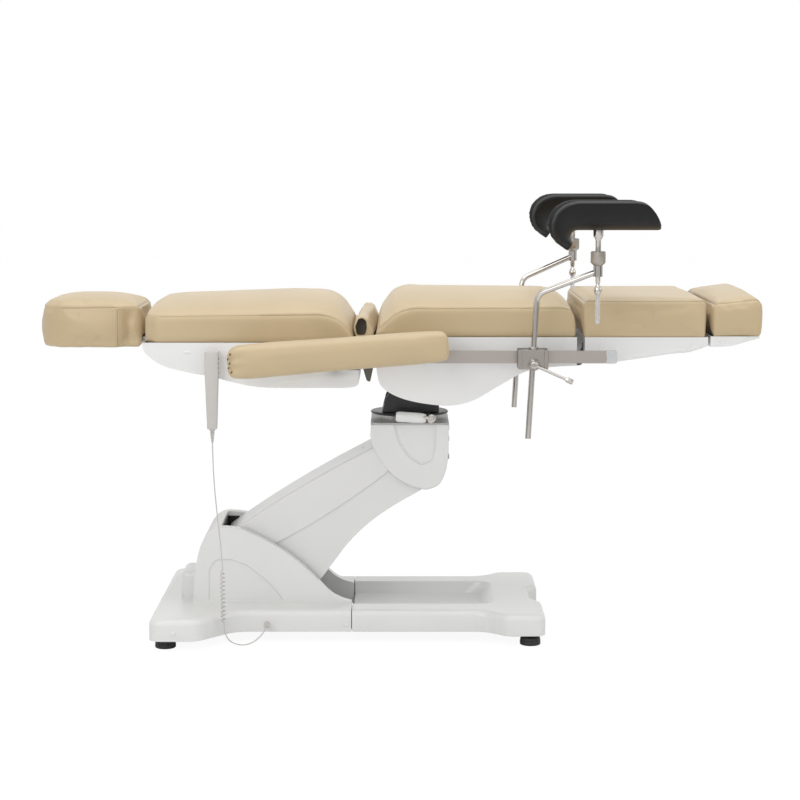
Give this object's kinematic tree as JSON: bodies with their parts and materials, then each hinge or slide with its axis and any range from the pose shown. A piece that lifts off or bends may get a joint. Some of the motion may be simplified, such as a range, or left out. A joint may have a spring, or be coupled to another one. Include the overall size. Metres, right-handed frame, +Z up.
{
  "type": "obstetric examination chair",
  "caption": "Electric gynaecology and examination chair: padded sections on a tilting, swivelling lift arm, with side rails, knee crutches, armrests and a hand control.",
  "frame": {"origin": "on the floor under the middle of the chair's outline", "axes": "+Z up, +X towards the foot end, +Y towards the patient's left side"},
  "size_m": [1.84, 0.9946, 1.1322],
  "materials": {
    "beige_vinyl": "soft satin vinyl, stitched",
    "tan_vinyl": "soft vinyl",
    "white_shell": "glossy moulded",
    "base_plastic": "semi-gloss moulded",
    "white_grip": "glossy moulded",
    "clear_cap": "translucent",
    "black_plastic": "matt moulded",
    "black_pad": "soft integral skin foam",
    "grey_plate": "satin paint",
    "frame_paint": "satin powder coat",
    "black_steel": "satin powder coat",
    "stainless": "brushed",
    "chrome": "polished",
    "foot_rubber": "matt",
    "lead_plastic": "matt sheath",
    "handset_plastic": "matt moulded"
  },
  "bodies": {
    "base": {"base_frame": "frame_paint", "rear_base_cover": "base_plastic", "front_base_cover": "base_plastic", "levelling_feet": "foot_rubber", "lift_motor": "black_steel", "base_shafts": "stainless", "power_inlet": "black_plastic", "handset_plug": "black_plastic"},
    "lift_arm": {"lower_link": "frame_paint", "lower_arm_cover": "base_plastic"},
    "upper_arm": {"upper_link": "frame_paint", "upper_arm_cover": "base_plastic"},
    "lift_head": {"head_frame": "frame_paint", "head_housing": "base_plastic", "head_plate": "grey_plate", "head_shafts": "stainless"},
    "turntable": {"swivel_bearing": "stainless", "swivel_disc": "black_steel", "tilt_cradle": "black_steel"},
    "swivel_lock": {"swivel_lever": "chrome", "swivel_lever_grip": "white_grip"},
    "seat": {"seat_frame": "black_steel", "tilt_pin": "stainless", "tilt_actuator": "black_plastic", "seat_shell": "white_shell", "seat_cushion": "beige_vinyl", "side_rails": "stainless", "rail_end_caps": "clear_cap", "rail_brackets": "stainless"},
    "back": {"back_frame": "black_steel", "back_shell": "white_shell", "back_cushion": "beige_vinyl", "hinge_gussets": "tan_vinyl", "handset_hook": "black_plastic", "handset_lead": "lead_plastic", "handset_curly_lead": "lead_plastic", "handset_tail": "lead_plastic"},
    "headrest_slider": {"headrest_bar": "stainless"},
    "headrest": {"headrest_cushion": "beige_vinyl"},
    "leg_section": {"leg_frame": "black_steel", "leg_shell": "white_shell", "leg_cushion": "beige_vinyl"},
    "foot_section": {"foot_slide": "stainless", "foot_shell": "white_shell", "foot_cushion": "beige_vinyl"},
    "handset": {"handset": "handset_plastic"},
    "right_armrest": {"right_armrest_pad": "beige_vinyl", "right_armrest_bracket": "black_steel"},
    "right_clamp": {"right_rail_clamp": "stainless"},
    "right_clamp_handle": {"right_clamp_lever": "chrome"},
    "right_post": {"right_crutch_post": "chrome"},
    "right_lock": {"right_crutch_lock": "chrome"},
    "right_crutch": {"right_crutch_pad": "black_pad"},
    "left_armrest": {"left_armrest_pad": "beige_vinyl", "left_armrest_bracket": "black_steel"},
    "left_clamp": {"left_rail_clamp": "stainless"},
    "left_clamp_handle": {"left_clamp_lever": "chrome"},
    "left_post": {"left_crutch_post": "chrome"},
    "left_lock": {"left_crutch_lock": "chrome"},
    "left_crutch": {"left_crutch_pad": "black_pad"}
  },
  "joints": [
    {"name": "lift", "type": "hinge", "parent": "base", "child": "lift_arm", "pos_m": [-0.3901, 0, 0.18], "axis": [0, 1, 0], "range_deg": [0, 32], "deforming": ["handset_lead", "handset_curly_lead", "handset_tail"]},
    {"name": "upper_link_follow", "type": "hinge", "parent": "base", "child": "upper_arm", "pos_m": [-0.40558, 0, 0.2421], "axis": [0, 1, 0], "range_deg": [0, 32]},
    {"name": "head_level", "type": "hinge", "parent": "lift_arm", "child": "lift_head", "pos_m": [0.01999, 0, 0.43328], "axis": [0, 1, 0], "range_deg": [-32, 0]},
    {"name": "swivel", "type": "hinge", "parent": "lift_head", "child": "turntable", "pos_m": [0.03489, 0, 0.55028], "axis": [0, 0, 1], "range_deg": [-90, 90]},
    {"name": "swivel_lock_turn", "type": "hinge", "parent": "lift_head", "child": "swivel_lock", "pos_m": [0.08989, -0.117, 0.55028], "axis": [0, 0, 1], "range_deg": [0, 45]},
    {"name": "tilt", "type": "hinge", "parent": "turntable", "child": "seat", "pos_m": [0.03489, 0, 0.76028], "axis": [0, -1, 0], "range_deg": [0, 15]},
    {"name": "back_raise", "type": "hinge", "parent": "seat", "child": "back", "pos_m": [-0.07811, 0, 0.76728], "axis": [0, 1, 0], "range_deg": [0, 65]},
    {"name": "headrest_extend", "type": "slide", "parent": "back", "child": "headrest_slider", "axis": [-1, 0, 0], "range_m": [0, 0.1]},
    {"name": "headrest_tilt", "type": "hinge", "parent": "headrest_slider", "child": "headrest", "pos_m": [-0.70011, 0, 0.76828], "axis": [0, 1, 0], "range_deg": [-15, 10]},
    {"name": "leg_drop", "type": "hinge", "parent": "seat", "child": "leg_section", "pos_m": [0.46239, 0, 0.72228], "axis": [0, 1, 0], "range_deg": [0, 80]},
    {"name": "foot_extend", "type": "slide", "parent": "leg_section", "child": "foot_section", "axis": [1, 0, 0], "range_m": [0, 0.1]},
    {"name": "handset_unhook", "type": "slide", "parent": "back", "child": "handset", "axis": [0, 0, 1], "range_m": [0, 0.05]},
    {"name": "right_armrest_level", "type": "hinge", "parent": "back", "child": "right_armrest", "pos_m": [-0.15011, -0.362, 0.72428], "axis": [0, 1, 0], "range_deg": [-65, 0]},
    {"name": "right_clamp_slide", "type": "slide", "parent": "seat", "child": "right_clamp", "axis": [1, 0, 0], "range_m": [-0.12, 0.07]},
    {"name": "right_clamp_lever_turn", "type": "hinge", "parent": "right_clamp", "child": "right_clamp_handle", "pos_m": [0.34139, -0.361, 0.72428], "axis": [0, 1, 0], "range_deg": [-60, 30]},
    {"name": "right_post_height", "type": "slide", "parent": "right_clamp", "child": "right_post", "axis": [0.0558, 0, 0.9984], "range_m": [-0.08, 0.12]},
    {"name": "right_crutch_lock_turn", "type": "hinge", "parent": "right_post", "child": "right_lock", "pos_m": [0.49289, -0.4, 0.95828], "axis": [0, 0, 1], "range_deg": [-90, 90]},
    {"name": "right_crutch_turn", "type": "hinge", "parent": "right_post", "child": "right_crutch", "pos_m": [0.49289, -0.4, 0.95828], "axis": [0, 0, 1], "range_deg": [-90, 90]},
    {"name": "left_armrest_level", "type": "hinge", "parent": "back", "child": "left_armrest", "pos_m": [-0.15011, 0.362, 0.72428], "axis": [0, 1, 0], "range_deg": [-65, 0]},
    {"name": "left_clamp_slide", "type": "slide", "parent": "seat", "child": "left_clamp", "axis": [1, 0, 0], "range_m": [-0.12, 0.07]},
    {"name": "left_clamp_lever_turn", "type": "hinge", "parent": "left_clamp", "child": "left_clamp_handle", "pos_m": [0.34139, 0.361, 0.72428], "axis": [0, 1, 0], "range_deg": [-60, 30]},
    {"name": "left_post_height", "type": "slide", "parent": "left_clamp", "child": "left_post", "axis": [0.0558, 0, 0.9984], "range_m": [-0.08, 0.12]},
    {"name": "left_crutch_lock_turn", "type": "hinge", "parent": "left_post", "child": "left_lock", "pos_m": [0.49289, 0.4, 0.95828], "axis": [0, 0, 1], "range_deg": [-90, 90]},
    {"name": "left_crutch_turn", "type": "hinge", "parent": "left_post", "child": "left_crutch", "pos_m": [0.49289, 0.4, 0.95828], "axis": [0, 0, 1], "range_deg": [-90, 90]}
  ],
  "couplings": [
    {"joint": "upper_link_follow", "follows": "lift", "ratio": 1},
    {"joint": "head_level", "follows": "lift", "ratio": -1},
    {"joint": "right_armrest_level", "follows": "back_raise", "ratio": -1},
    {"joint": "left_armrest_level", "follows": "back_raise", "ratio": -1}
  ]
}
